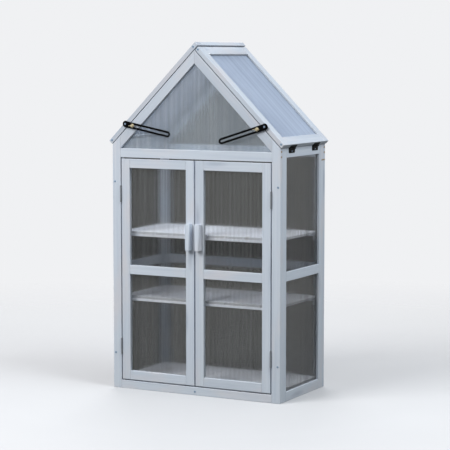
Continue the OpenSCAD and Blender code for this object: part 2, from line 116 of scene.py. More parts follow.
# %% [markdown]
# ## Helpers for node trees
# Shaders and Geometry Nodes are both trees of nodes. They could be wired socket by socket, but one helper
# that adds a node and fills or links its inputs keeps each tree short. Another turns screen colours, which
# are easy to read off, into the linear colours that sockets take.

# %% Nodes, trees and colours
def shade(red, green, blue):
    """A screen colour from 0 to 255 as the linear colour that a socket takes."""
    def linear(value):
        share = value / 255
        return share / 12.92 if share <= 0.04045 else ((share + 0.055) / 1.055) ** 2.4
    return (linear(red), linear(green), linear(blue), 1.0)


def feed(tree, made, inputs):
    """Fills a node's inputs, each with a value or with an output to link from."""
    for name, value in inputs.items():
        if isinstance(value, bpy.types.NodeSocket):
            tree.links.new(value, made.inputs[name])
        else:
            made.inputs[name].default_value = value


def node(tree, kind, inputs=None, **settings):
    """A new node with its settings and its inputs."""
    made = tree.nodes.new(kind)
    for name, value in settings.items():
        setattr(made, name, value)
    feed(tree, made, inputs or {})
    return made


def tree_with_sockets(name, kind, inputs, outputs):
    """A node group with named sockets. Returns it with the sockets of its inputs and its output node."""
    tree = bpy.data.node_groups.new(name, kind)
    for label, socket in inputs.items():
        tree.interface.new_socket(label, in_out="INPUT", socket_type="NodeSocket" + socket)
    for label, socket in outputs.items():
        tree.interface.new_socket(label, in_out="OUTPUT", socket_type="NodeSocket" + socket)
    return tree, tree.nodes.new("NodeGroupInput").outputs, tree.nodes.new("NodeGroupOutput")


def new_finish(name):
    """A new material, its node tree and its Principled shader."""
    material = bpy.data.materials.new(name)
    material.use_nodes = True
    return material, material.node_tree, material.node_tree.nodes["Principled BSDF"]


print("helpers for trees ready")

# %% Sums, ramps and noise
def math_node(tree, operation, first, second=0.0):
    """The output of a Math node."""
    return node(tree, "ShaderNodeMath", {0: first, 1: second}, operation=operation).outputs[0]


def weighted(tree, first, second, share):
    """A sum of two values in which the first has the given share."""
    return math_node(tree, "ADD", math_node(tree, "MULTIPLY", first, share),
                     math_node(tree, "MULTIPLY", second, 1 - share))


def ramp(tree, value, start, end, low=0.0, high=1.0):
    """A value mapped from start..end to low..high, and held there outside."""
    inputs = {"Value": value, "From Min": start, "From Max": end, "To Min": low, "To Max": high}
    return node(tree, "ShaderNodeMapRange", inputs).outputs["Result"]


def blend_colour(tree, factor, first, second):
    """The output of a colour Mix node, whose colours go in at 6 and 7 and come out at 2."""
    mixed = node(tree, "ShaderNodeMix", {0: factor, 6: first, 7: second}, data_type="RGBA")
    return mixed.outputs[2]


def stretched(tree, place, stretch):
    """A place scaled by a factor for each direction."""
    return node(tree, "ShaderNodeVectorMath", {0: place, 1: stretch}, operation="MULTIPLY").outputs[0]


def stretched_noise(tree, place, stretch, detail=3.0, distortion=0.0):
    """Noise in a space that is stretched by a factor for each direction."""
    inputs = {"Vector": stretched(tree, place, stretch), "Scale": 1.0, "Detail": detail,
              "Distortion": distortion}
    return node(tree, "ShaderNodeTexNoise", inputs).outputs["Fac"]


def looked_at(tree):
    """1 for rays that show something: from the camera, in a reflection or through a sheet. 0 for light."""
    path = node(tree, "ShaderNodeLightPath").outputs
    shown = math_node(tree, "MAXIMUM", path["Is Camera Ray"], path["Is Glossy Ray"])
    return math_node(tree, "MAXIMUM", shown, path["Is Transmission Ray"])


print("helpers for values ready")

# %% [markdown]
# ## The studio
# A plain pale floor carries the shadow and fades out into the pale surroundings, so no edge or horizon
# shows from any side. The world looks pale to the camera, in reflections and through the sheets, and lights
# the object as an overcast sky does, most from overhead. A wide lamp in front, one on the right and one
# behind give the shapes their light and shade. The sheets would show the lamps as bright speckles, so the
# lamps can't be seen through them.

# %% The world
PALE = shade(240, 241, 243)
SKY_COLOUR = shade(250, 251, 255)
HORIZON_LIGHT = 0.24
ZENITH_LIGHT = 0.7

world = bpy.data.worlds.new("studio")
bpy.context.scene.world = world
world.use_nodes = True
sky = world.node_tree
sky.nodes.clear()
sky_direction = node(sky, "ShaderNodeTexCoord").outputs["Generated"]
upward = node(sky, "ShaderNodeSeparateXYZ", {0: sky_direction}).outputs["Z"]
sky_light = ramp(sky, upward, 0.0, 1.0, HORIZON_LIGHT, ZENITH_LIGHT)
lighting = node(sky, "ShaderNodeBackground", {"Color": SKY_COLOUR, "Strength": sky_light})
backdrop = node(sky, "ShaderNodeBackground", {"Color": PALE, "Strength": 1.0})
chosen = node(sky, "ShaderNodeMixShader",
              {0: looked_at(sky), 1: lighting.outputs[0], 2: backdrop.outputs[0]})
node(sky, "ShaderNodeOutputWorld", {"Surface": chosen.outputs[0]})
print("world:", len(sky.nodes), "nodes")

# %% The floor
FLOOR_RADIUS = 14.0
FLOOR_SIDES = 96
FADE_START = 0.9
FADE_END = 3.4
FLOOR_ROUGHNESS = 0.9
FLOOR_MOTTLE = (1.5, 1.5, 1.5)
FLOOR_DARK = shade(192, 193, 195)
FLOOR_LIGHT = shade(197, 198, 200)
FLOOR_BOUNCE = shade(90, 93, 87)


def mesh_from(shape, name, finish=None):
    """A mesh made of a shape, which is used up, with a finish."""
    mesh = bpy.data.meshes.new(name)
    shape.to_mesh(mesh)
    shape.free()
    if finish:
        mesh.materials.append(finish)
    return mesh


floor_finish, floor_tree, floor_shader = new_finish("studio_floor")
floor_place = node(floor_tree, "ShaderNodeTexCoord").outputs["Object"]
distance = node(floor_tree, "ShaderNodeVectorMath", {0: floor_place}, operation="LENGTH").outputs["Value"]
floor_mottle = stretched_noise(floor_tree, floor_place, FLOOR_MOTTLE)
floor_colour = blend_colour(floor_tree, floor_mottle, FLOOR_DARK, FLOOR_LIGHT)
feed(floor_tree, floor_shader, {
    "Base Color": blend_colour(floor_tree, looked_at(floor_tree), FLOOR_BOUNCE, floor_colour),
    "Alpha": ramp(floor_tree, distance, FADE_START, FADE_END, 1.0, 0.0),
    "Roughness": FLOOR_ROUGHNESS,
})
disc = bmesh.new()
bmesh.ops.create_circle(disc, cap_ends=True, segments=FLOOR_SIDES, radius=FLOOR_RADIUS)
bmesh.ops.translate(disc, verts=disc.verts, vec=(0, 0, cad_low.z))
floor = add_object("studio_floor", mesh_from(disc, "studio_floor", floor_finish))
print("floor", FLOOR_RADIUS * 2, "m across")

# %% The lamps
WHITE_LIGHT = (1.0, 1.0, 1.0)
COOL_LIGHT = (0.92, 0.968, 1.0)


def soft_lamp(name, place, size, power, colour):
    """A square lamp that faces the middle of the object."""
    data = bpy.data.lights.new(name, "AREA")
    data.color = colour
    data.size = size
    data.energy = power
    lamp = add_object(name, data)
    lamp.visible_transmission = False
    lamp.location = place
    lamp.rotation_euler = (middle - Vector(place)).to_track_quat("-Z", "Y").to_euler()
    return lamp


lamps = [
    soft_lamp("front_lamp", (-2.0, -4.0, 4.0), size=3.0, power=266, colour=WHITE_LIGHT),
    soft_lamp("right_lamp", (2.8, -0.6, 3.9), size=2.0, power=124, colour=COOL_LIGHT),
    soft_lamp("back_lamp", (-2.6, 4.4, 2.8), size=3.0, power=120, colour=WHITE_LIGHT),
]
print(len(lamps), "lamps of", sum(lamp.data.energy for lamp in lamps), "watts together")

# %% [markdown]
# ## Shared surface effects
# The laths are softwood under a thin pale blue-grey stain: the grain shows as fine streaks along each lath,
# with warmer patches where the stain is thin, and a few knots. A texture in world space would run the grain
# through the joints, so each lath carries its own coordinates, and one node group reads them.
# Handled edges lose their coat on timber and on metal alike, so edge wear is a group of its own. So are the
# dusty streaks and the flutes of the sheets, which their skins and their ribs share.

# %% Grain of a stained board
FINE_GRAIN = (3.0, 170.0, 170.0)
BROAD_GRAIN = (1.3, 38.0, 38.0)
STAIN_PATCHES = (5.0, 14.0, 14.0)
KNOT_CELLS = (4.2, 24.0, 24.0)
KNOTLESS_SHARE = 0.5
KNOT_REACH = (0.3, 0.08)
KNOT_COVER = 0.55
FINE_SHARE = 0.45
STREAK_RANGE = (0.42, 0.66)
WARM_RANGE = (0.48, 0.72)
FINE_RANGE = (0.3, 0.7)
GRAIN_ROUGHNESS = (0.52, 0.74)

grain_group, grain_in, grain_out = tree_with_sockets(
    "board_grain", "ShaderNodeTree",
    {"Place": "Vector", "Tint": "Float", "Body": "Color", "Streak": "Color", "Warm": "Color",
     "Knot": "Color", "Streak Amount": "Float", "Warm Amount": "Float"},
    {"Color": "Color", "Height": "Float", "Roughness": "Float"},
)
board_place = grain_in["Place"]
fine = stretched_noise(grain_group, board_place, FINE_GRAIN, detail=5.0, distortion=0.4)
bands = stretched_noise(grain_group, board_place, BROAD_GRAIN, distortion=0.8)
patches = stretched_noise(grain_group, board_place, STAIN_PATCHES, detail=2.0)
knot_space = stretched(grain_group, board_place, KNOT_CELLS)
cells = node(grain_group, "ShaderNodeTexVoronoi", {"Vector": knot_space, "Scale": 1.0}).outputs
rare = math_node(grain_group, "GREATER_THAN", cells["Color"], KNOTLESS_SHARE)
knots = math_node(grain_group, "MULTIPLY", ramp(grain_group, cells["Distance"], *KNOT_REACH), rare)
streaks = weighted(grain_group, fine, bands, FINE_SHARE)
streak_share = math_node(grain_group, "MULTIPLY", ramp(grain_group, streaks, *STREAK_RANGE),
                         grain_in["Streak Amount"])
warm_share = math_node(grain_group, "MULTIPLY", ramp(grain_group, patches, *WARM_RANGE),
                       grain_in["Warm Amount"])
knot_share = math_node(grain_group, "MULTIPLY", knots, KNOT_COVER)
coat = blend_colour(grain_group, streak_share, grain_in["Body"], grain_in["Streak"])
coat = blend_colour(grain_group, warm_share, coat, grain_in["Warm"])
coat = blend_colour(grain_group, knot_share, coat, grain_in["Knot"])
brightness = math_node(grain_group, "ADD", grain_in["Tint"], 1.0)
toned = node(grain_group, "ShaderNodeHueSaturation", {"Color": coat, "Value": brightness})
feed(grain_group, grain_out, {
    "Color": toned.outputs[0],
    "Height": math_node(grain_group, "SUBTRACT", streaks, knots),
    "Roughness": ramp(grain_group, fine, *FINE_RANGE, *GRAIN_ROUGHNESS),
})
print("board_grain:", len(grain_group.nodes), "nodes")

# %% Worn edges, on timber and metal
WEAR_PATCHES = (28.0, 28.0, 28.0)
WEAR_RANGE = (0.42, 0.6)

wear_group, wear_in, wear_out = tree_with_sockets(
    "edge_wear", "ShaderNodeTree",
    {"Place": "Vector", "Edge": "Float", "Amount": "Float"},
    {"Mask": "Float"},
)
rubbed = stretched_noise(wear_group, wear_in["Place"], WEAR_PATCHES, detail=4.0)
rubbed = math_node(wear_group, "MULTIPLY", ramp(wear_group, rubbed, *WEAR_RANGE), wear_in["Edge"])
feed(wear_group, wear_out, {"Mask": math_node(wear_group, "MULTIPLY", rubbed, wear_in["Amount"])})
print("edge_wear:", len(wear_group.nodes), "nodes")

# %% Streaks and flutes of a sheet
DUST_LINES = (55.0, 55.0, 0.12)
DUST_CLOUDS = (4.0, 4.0, 2.4)
LINE_SHARE = 0.6
DUST_RANGE = (0.34, 0.66)
FLUTE_SCALE = 600.0

streak_group, streak_in, streak_out = tree_with_sockets(
    "sheet_streak", "ShaderNodeTree",
    {"Place": "Vector", "Clear": "Color", "Dusty": "Color", "Smooth": "Float", "Rough": "Float"},
    {"Color": "Color", "Roughness": "Float", "Height": "Float"},
)
lines = stretched_noise(streak_group, streak_in["Place"], DUST_LINES)
clouds = stretched_noise(streak_group, streak_in["Place"], DUST_CLOUDS)
dust = ramp(streak_group, weighted(streak_group, lines, clouds, LINE_SHARE), *DUST_RANGE)
axes = node(streak_group, "ShaderNodeSeparateXYZ", {0: streak_in["Place"]}).outputs
across = math_node(streak_group, "ADD", axes["X"], axes["Y"])
flute_place = math_node(streak_group, "MULTIPLY", across, FLUTE_SCALE)
flutes = node(streak_group, "ShaderNodeTexNoise", {"W": flute_place, "Scale": 1.0, "Detail": 1.0},
              noise_dimensions="1D")
feed(streak_group, streak_out, {
    "Color": blend_colour(streak_group, dust, streak_in["Clear"], streak_in["Dusty"]),
    "Roughness": ramp(streak_group, dust, 0.0, 1.0, streak_in["Smooth"], streak_in["Rough"]),
    "Height": flutes.outputs[0],
})
print("sheet_streak:", len(streak_group.nodes), "nodes")

# %% [markdown]
# ## Timber finishes
# Frames, doors and roof share one stain. The shelves and the floor have a second one, near white as painted
# light, so that they look lit inside the sheets. A picture of wood would repeat from board to board, so both
# materials are worked out from the same groups, each with its own values. The cut ends of the laths, which
# soak up more stain, are darker.

# %% Stained timber
END_SOAK = 0.45
GRAIN_STRENGTH = 0.35
GRAIN_DEPTH = 0.0012
DULL_SHINE = 0.15


def own_value(tree, name, output):
    """An output of an attribute that the mesh carries."""
    return node(tree, "ShaderNodeAttribute", attribute_name=name).outputs[output]


def board_material(name, colours, streak_amount, warm_amount, wear):
    """Stained softwood: grain along each board, rubbed edges and darker cut ends."""
    material, tree, shader = new_finish(name)
    place = own_value(tree, "board_space", "Vector")
    stain = {label: colours[label] for label in ("Body", "Streak", "Warm", "Knot")}
    stain.update({"Place": place, "Tint": own_value(tree, "board_tint_and_painted_light", "Fac"),
                  "Streak Amount": streak_amount, "Warm Amount": warm_amount})
    grain = node(tree, "ShaderNodeGroup", stain, node_tree=grain_group).outputs
    rubbing = {"Place": place, "Edge": own_value(tree, "arris", "Fac"), "Amount": wear}
    worn = node(tree, "ShaderNodeGroup", rubbing, node_tree=wear_group).outputs
    colour = blend_colour(tree, worn["Mask"], grain["Color"], colours["Bare"])
    soaked = math_node(tree, "MULTIPLY", own_value(tree, "end_grain", "Fac"), END_SOAK)
    relief = {"Height": grain["Height"], "Strength": GRAIN_STRENGTH, "Distance": GRAIN_DEPTH}
    feed(tree, shader, {
        "Base Color": blend_colour(tree, soaked, colour, colours["End"]),
        "Roughness": grain["Roughness"],
        "Normal": node(tree, "ShaderNodeBump", relief).outputs[0],
        "Specular IOR Level": DULL_SHINE,
    })
    return material


STAIN = {
    "Body": shade(195, 203, 213), "Streak": shade(171, 182, 197), "Warm": shade(206, 201, 203),
    "Knot": shade(146, 156, 172), "Bare": shade(222, 222, 222), "End": shade(160, 168, 180),
}
# The shelves' stain is near white as painted light, so that they look lit inside the sheets.
PALE_STAIN_AND_PAINTED_LIGHT = {
    "Body": shade(230, 235, 245), "Streak": shade(211, 218, 231), "Warm": shade(231, 230, 234),
    "Knot": shade(140, 138, 138), "Bare": shade(222, 218, 210), "End": shade(156, 156, 158),
}
painted_timber = board_material("stained_frame", STAIN, streak_amount=0.55, warm_amount=0.5, wear=0.25)
shelf_timber = board_material("stained_shelf", PALE_STAIN_AND_PAINTED_LIGHT, streak_amount=0.6, warm_amount=0.55, wear=0.25)
print("timber finishes:", painted_timber.name, shelf_timber.name)

# %% [markdown]
# ## Dressing the boards
# A CAD node arrives as loose triangles with knife-sharp edges. A copy is merged, its flat faces are made
# whole, and its outer edges are eased as sandpaper does it. The new narrow faces are marked, for the wear.
# Then each board gets its own grain space: along its longest edge, across its wide face and through it,
# moved by a random step so that no two boards show the same grain. Boards differ a little in tone at random.
# Some kinds are lighter or darker than the rest: the handles are lighter, the upper slats lighter as painted
# light, and the rafters, roof laths, lower slats and floor slats darker as painted shade.

# %% Clean copies of CAD nodes
MERGE_DISTANCE = 1e-5
FLAT_ANGLE = math.radians(1)


def merged_copy(node_name):
    """A CAD node's shape as one closed mesh with whole flat faces."""
    shape = bmesh.new()
    shape.from_mesh(frame["nodes"][node_name].data)
    bmesh.ops.remove_doubles(shape, verts=shape.verts, dist=MERGE_DISTANCE)
    bmesh.ops.dissolve_limit(shape, angle_limit=FLAT_ANGLE, verts=shape.verts, edges=shape.edges)
    return shape


def islands(shape):
    """The separate solids of a mesh, each a list of faces."""
    shape.faces.ensure_lookup_table()
    shape.faces.index_update()
    seen = set()
    found = []
    for first in shape.faces:
        if first.index in seen:
            continue
        seen.add(first.index)
        members = [first]
        for face in members:
            for edge in face.edges:
                for other in edge.link_faces:
                    if other.index not in seen:
                        seen.add(other.index)
                        members.append(other)
        found.append(members)
    return found


def box_of(faces):
    """The lowest and highest corner of some faces."""
    corners = [vert.co for face in faces for vert in face.verts]
    low = Vector(min(corner[axis] for corner in corners) for axis in range(3))
    high = Vector(max(corner[axis] for corner in corners) for axis in range(3))
    return low, high


trial = merged_copy("front_posts")
print("front_posts:", len(islands(trial)), "solids,", len(trial.faces), "whole faces")
trial.free()

# %% Eased edges
SHARP_ANGLE = math.radians(40)


def ease_edges(shape, width, segments):
    """Rounds the outer edges and marks the new faces as arris."""
    arris = shape.faces.layers.float.new("arris")
    sharp = [edge for edge in shape.edges
             if edge.is_manifold and edge.calc_face_angle_signed(0.0) > SHARP_ANGLE]
    eased = bmesh.ops.bevel(shape, geom=sharp, offset=width, segments=segments, profile=0.5,
                            affect="EDGES", clamp_overlap=True)
    for face in eased["faces"]:
        face[arris] = 1.0


print("edges sharper than", round(math.degrees(SHARP_ANGLE)), "degrees are eased")

# %% A grain space for each board
GRAIN_STEP = 40.0
TINT_RANGE = 0.03
END_FACING = 0.85


def board_axes(faces):
    """A board's own directions: along its grain, across its wide face, and through it."""
    longest = max((edge for face in faces for edge in face.edges), key=lambda edge: edge.calc_length())
    along = (longest.verts[1].co - longest.verts[0].co).normalized()
    if max(along, key=abs) < 0:
        along = -along
    through = max(faces, key=lambda face: face.calc_area()).normal
    return along, through.cross(along).normalized(), through


def lay_grain(shape, chance, tint_and_painted_light):
    """Writes each board's grain space, its tint with any painted light or shade, and its cut ends as
    attributes. Returns the number of boards.
    """
    place_layer = shape.verts.layers.float_vector.new("board_space")
    tint_layer = shape.verts.layers.float.new("board_tint_and_painted_light")
    end_layer = shape.faces.layers.float.new("end_grain")
    boards = islands(shape)
    for faces in boards:
        axes = board_axes(faces)
        low, high = box_of(faces)
        step = Vector(chance.uniform(-GRAIN_STEP, GRAIN_STEP) for axis in axes)
        tint = tint_and_painted_light + chance.uniform(-TINT_RANGE, TINT_RANGE)
        for face in faces:
            face[end_layer] = 1.0 if abs(face.normal.dot(axes[0])) > END_FACING else 0.0
            for vert in face.verts:
                offset = vert.co - (low + high) / 2
                vert[place_layer] = Vector(offset.dot(axis) for axis in axes) + step
                vert[tint_layer] = tint
    return len(boards)


print("boards differ in tone by up to", TINT_RANGE * 2)

# %% Boards with eased edges and grain of their own
EASED_EDGE = 0.0014
EASED_STEPS = 2
TIMBER_ENDINGS = ("posts", "rails", "rafter", "stiles", "slats", "battens", "cleats", "handle")
SHELF_ENDINGS = ("slats", "battens", "cleats")
# Tone of some kinds: the handles lighter, the upper slats lighter as painted light, and the rafters, roof
# laths, lower slats and floor slats darker as painted shade.
TINTS_AND_PAINTED_LIGHT = {
    "rafter": -0.1, "roof_stiles": -0.1, "roof_rails": -0.07, "handle": 0.1,
    "upper_shelf_slats": 0.06, "lower_shelf_slats": -0.28, "floor_slats": -0.28,
}


def add_piece(name, mesh, body, slot, *replaced):
    """A finished piece that rides on a body and stands for some CAD nodes, which are hidden. slot is not
    used.
    """
    piece = add_object(name, mesh)
    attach(piece, body)
    if replaced:
        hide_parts(*replaced)
    return piece


def body_name(node_name):
    """The body that a CAD node rides on."""
    return frame["nodes"][node_name]["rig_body"]


board_count = 0
timber_nodes = [name for name in sorted(frame["nodes"]) if name.endswith(TIMBER_ENDINGS)]
for node_name in timber_nodes:
    on_shelf = node_name.endswith(SHELF_ENDINGS)
    finish, slot = (shelf_timber, "shelf_timber") if on_shelf else (painted_timber, "painted_timber")
    shape = merged_copy(node_name)
    ease_edges(shape, EASED_EDGE, EASED_STEPS)
    tint_and_painted_light = sum(tint for ending, tint in TINTS_AND_PAINTED_LIGHT.items() if node_name.endswith(ending))
    board_count += lay_grain(shape, random.Random(node_name), tint_and_painted_light)
    piece_name = node_name + "_timber"
    add_piece(piece_name, mesh_from(shape, piece_name, finish), body_name(node_name), slot, node_name)
print(board_count, "boards dressed in", len(timber_nodes), "pieces")

# %% [markdown]
# ## Skins of the twin-wall sheets
# The glazing is fluted plastic: two thin skins with upright ribs between them. The skins are the CAD sheets
# with a see-through finish. Their bump changes only across the flutes, so what is behind them is blurred
# more across than along. Light passes more freely than the eye does, because the flutes scatter it, so the
# skins are all but clear to light and only the rays that are looked along meet the whole finish.
# From the front, a far wall is dark behind the near one, and darkest under a shelf. The lamps alone would
# make it as bright as the near one, so a skin that is met from inside gets a painted dark shade, darkest
# under a shelf.
# The denoiser treats a skin in another way above a roughness of about 0.27. A sheet that crosses it comes
# out blotchy, so the haze of each sheet stays on one side: walls, doors and gables below, the roof above.

# %% How a skin looks from inside
BLACK = (0.0, 0.0, 0.0, 1.0)
LEVEL = (1.0, 1.0, 0.0)
# Painted shade on the skins, darkest close under each shelf and fading out downwards.
SHELF_SHADES = {"upper_shelf_slats": 0.92, "lower_shelf_slats": 0.2}
SHADE_REACH = 0.26
SHADE_FULL = 0.1


def met_from_inside(tree, place, fixed):
    """1 where a skin is met from inside the greenhouse.

    A fixed sheet's inner face is the one that points to the middle. A moving sheet has no such rule, so there
    the ray decides: it comes through another sheet, or from a surface that it lights.
    """
    if fixed:
        normal = node(tree, "ShaderNodeTexCoord").outputs["Normal"]
        facing_out = node(tree, "ShaderNodeVectorMath", {0: normal, 1: stretched(tree, place, LEVEL)},
                          operation="DOT_PRODUCT")
        from_inside = math_node(tree, "LESS_THAN", facing_out.outputs["Value"], 0.0)
    else:
        path = node(tree, "ShaderNodeLightPath").outputs
        from_inside = math_node(tree, "MAXIMUM", path["Is Transmission Ray"], path["Is Diffuse Ray"])
    leaving = node(tree, "ShaderNodeNewGeometry").outputs["Backfacing"]
    return math_node(tree, "MULTIPLY", from_inside, math_node(tree, "SUBTRACT", 1.0, leaving))


def painted_shelf_shade(tree, place):
    """How much painted shade a place under a shelf gets: darkest close below it, and fading out further down.
    """
    height = node(tree, "ShaderNodeSeparateXYZ", {0: place}).outputs["Z"]
    darkness = 0.0
    for shelf, strength in SHELF_SHADES.items():
        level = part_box(shelf)[0].z
        nearness = ramp(tree, height, level - SHADE_REACH, level - SHADE_FULL, 0.0, strength)
        below = math_node(tree, "LESS_THAN", height, level)
        darkness = math_node(tree, "MAXIMUM", math_node(tree, "MULTIPLY", nearness, below), darkness)
    return darkness


print("shade under", " and ".join(SHELF_SHADES))

# %% Sheet finishes
SHEET_IOR = 1.1
ROOF_SLOPE = 45.0
HAZE_RANGE = 0.1
# The colour that each sheet shows from inside is painted shade: darkest in doors and walls, lighter in the
# gables, lightest in the roof.
DOOR_TONES = {
    "clear": shade(252, 252, 251), "dusty": shade(242, 243, 243), "painted_inside_shade": shade(31, 31, 29),
    "transmission": 1.0, "shading": 0.02, "relief": 0.0006, "haze": 0.16,
}
WALL_TONES = {**DOOR_TONES, "shading": 0.45}
GABLE_TONES = {
    "clear": shade(240, 246, 250), "dusty": shade(204, 212, 220), "painted_inside_shade": shade(90, 93, 95),
    "transmission": 0.91, "shading": 0.02, "relief": 0.0008, "haze": 0.16,
}
# The roof's pale bluish colours are a painted reflection of the sky.
ROOF_PAINTED_SKY_TONES = {
    "clear": shade(158, 170, 189), "dusty": shade(192, 203, 219), "painted_inside_shade": shade(163, 169, 180),
    "transmission": 0.5, "shading": 0.03, "relief": 0.0002, "haze": 0.52,
}


def sheet_material(name, tones, turn=0.0, fixed=False):
    """A fluted sheet that blurs what is behind it, along its flutes less than across them.

    The colour that it shows when met from inside is painted shade. shading is the share of light that each
    skin holds back, relief the depth of the flutes and haze the least roughness. turn tips the streaks by
    some degrees.
    """
    material, tree, shader = new_finish(name)
    place = node(tree, "ShaderNodeTexCoord").outputs["Object"]
    turned = node(tree, "ShaderNodeMapping", {"Vector": place, "Rotation": (0, math.radians(turn), 0)})
    dusting = {"Place": turned.outputs[0], "Clear": tones["clear"], "Dusty": tones["dusty"],
               "Smooth": tones["haze"], "Rough": tones["haze"] + HAZE_RANGE}
    streak = node(tree, "ShaderNodeGroup", dusting, node_tree=streak_group).outputs
    relief = {"Height": streak["Height"], "Strength": 1.0, "Distance": tones["relief"]}
    # Painted shade: a skin met from inside shows a dark colour, painted darker still close under each shelf.
    painted_shade_colour = blend_colour(tree, painted_shelf_shade(tree, place), tones["painted_inside_shade"], BLACK)
    painted_shade_mask = met_from_inside(tree, place, fixed)
    feed(tree, shader, {
        "Base Color": blend_colour(tree, painted_shade_mask, streak["Color"], painted_shade_colour),
        "Roughness": streak["Roughness"],
        "Normal": node(tree, "ShaderNodeBump", relief).outputs[0],
        "Alpha": ramp(tree, looked_at(tree), 0.0, 1.0, tones["shading"], 1.0),
        "IOR": SHEET_IOR,
        "Specular IOR Level": DULL_SHINE,
        "Transmission Weight": tones["transmission"],
    })
    return material


wall_sheet = sheet_material("wall_sheet", WALL_TONES, fixed=True)
SKINS = {
    "left_roof": sheet_material("left_roof_sheet", ROOF_PAINTED_SKY_TONES, turn=-ROOF_SLOPE),
    "right_roof": sheet_material("right_roof_sheet", ROOF_PAINTED_SKY_TONES, turn=ROOF_SLOPE),
    "gable": sheet_material("gable_sheet", GABLE_TONES, fixed=True),
    "door": sheet_material("door_sheet", DOOR_TONES),
}
print(len(SKINS) + 1, "sheet finishes")

# %% Skins on the CAD sheets
def finish_for(node_name, finishes, otherwise):
    """The finish whose key is part of a node's name."""
    return next((finish for key, finish in finishes.items() if key in node_name), otherwise)


sheet_nodes = [name for name in sorted(frame["nodes"]) if name.endswith(("pane", "panes"))]
for node_name in sheet_nodes:
    skin_mesh = frame["nodes"][node_name].data
    skin_mesh.materials.clear()
    skin_mesh.materials.append(finish_for(node_name, SKINS, wall_sheet))
print(len(sheet_nodes), "sheet nodes finished")

# %% [markdown]
# ## Ribs inside the sheets
# The ribs join the two skins and show as fine upright lines. Shading alone can't show them, because they
# hide more of the view the more the sheet is turned away, so they are real strips inside the sheet. A
# Geometry Nodes tree sets them in a row. In a gable each strip is shorter the further it is from the middle.

# %% Rib finishes
RIB_SMOOTH = 0.3
RIB_ROUGH = 0.5


def rib_material(name, dark, pale):
    """The strips between the skins, streaked as the skins are."""
    material, tree, shader = new_finish(name)
    place = node(tree, "ShaderNodeTexCoord").outputs["Object"]
    dusting = {"Place": place, "Clear": dark, "Dusty": pale, "Smooth": RIB_SMOOTH, "Rough": RIB_ROUGH}
    streak = node(tree, "ShaderNodeGroup", dusting, node_tree=streak_group).outputs
    feed(tree, shader, {"Base Color": streak["Color"], "Roughness": streak["Roughness"]})
    return material


# The ribs of walls and gables are darker than the doors' as painted shade.
wall_rib_painted_shade = rib_material("wall_rib_painted_shade", shade(66, 67, 68), shade(92, 94, 96))
RIB_FINISHES = {
    # The roof's ribs are pale blue as a painted reflection of the sky.
    "roof": rib_material("roof_rib", shade(168, 182, 206), shade(196, 208, 226)),
    "door": rib_material("door_rib", shade(104, 106, 107), shade(138, 140, 143)),
}
print(len(RIB_FINISHES) + 1, "rib finishes")

# %% The tree that makes a sheet's ribs
ribs_tree, ribs_in, ribs_out = tree_with_sockets(
    "sheet_ribs", "GeometryNodeTree",
    {"Count": "Int", "Pitch": "Float", "Height": "Float", "Drop": "Float", "Depth": "Float",
     "Rib": "Float", "Material": "Material"},
    {"Geometry": "Geometry"},
)
half_span = math_node(ribs_tree, "MULTIPLY", math_node(ribs_tree, "SUBTRACT", ribs_in["Count"], 1.0), -0.5)
first_x = math_node(ribs_tree, "MULTIPLY", half_span, ribs_in["Pitch"])
row_start = node(ribs_tree, "ShaderNodeCombineXYZ", {"X": first_x}).outputs[0]
row_step = node(ribs_tree, "ShaderNodeCombineXYZ", {"X": ribs_in["Pitch"]}).outputs[0]
row = node(ribs_tree, "GeometryNodeMeshLine",
           {"Count": ribs_in["Count"], "Start Location": row_start, "Offset": row_step})
strip_size = node(ribs_tree, "ShaderNodeCombineXYZ", {"X": ribs_in["Rib"], "Y": ribs_in["Depth"], "Z": 1.0})
strip = node(ribs_tree, "GeometryNodeMeshCube", {"Size": strip_size.outputs[0]})
standing = node(ribs_tree, "GeometryNodeTransform",
                {"Geometry": strip.outputs["Mesh"], "Translation": (0, 0, 0.5)})
rib_place = node(ribs_tree, "GeometryNodeInputPosition").outputs[0]
off_middle = node(ribs_tree, "ShaderNodeSeparateXYZ", {0: rib_place}).outputs["X"]
lost = math_node(ribs_tree, "MULTIPLY", math_node(ribs_tree, "ABSOLUTE", off_middle), ribs_in["Drop"])
tall = math_node(ribs_tree, "SUBTRACT", ribs_in["Height"], lost)
rib_scale = node(ribs_tree, "ShaderNodeCombineXYZ", {"X": 1.0, "Y": 1.0, "Z": tall}).outputs[0]
strips = node(ribs_tree, "GeometryNodeInstanceOnPoints",
              {"Points": row.outputs["Mesh"], "Instance": standing.outputs[0], "Scale": rib_scale})
real_ribs = node(ribs_tree, "GeometryNodeRealizeInstances", {"Geometry": strips.outputs[0]})
coated_ribs = node(ribs_tree, "GeometryNodeSetMaterial",
                   {"Geometry": real_ribs.outputs[0], "Material": ribs_in["Material"]})
feed(ribs_tree, ribs_out, {"Geometry": coated_ribs.outputs[0]})
print("sheet_ribs:", len(ribs_tree.nodes), "nodes")

# %% Where a sheet's ribs stand
SHEET_THICKNESS = 0.004
EDGE_MARGIN = 0.002
ROOF_LEAN = math.radians(ROOF_SLOPE)
ALONG_X = Vector((1, 0, 0))
ALONG_Y = Vector((0, 1, 0))
ALONG_Z = Vector((0, 0, 1))


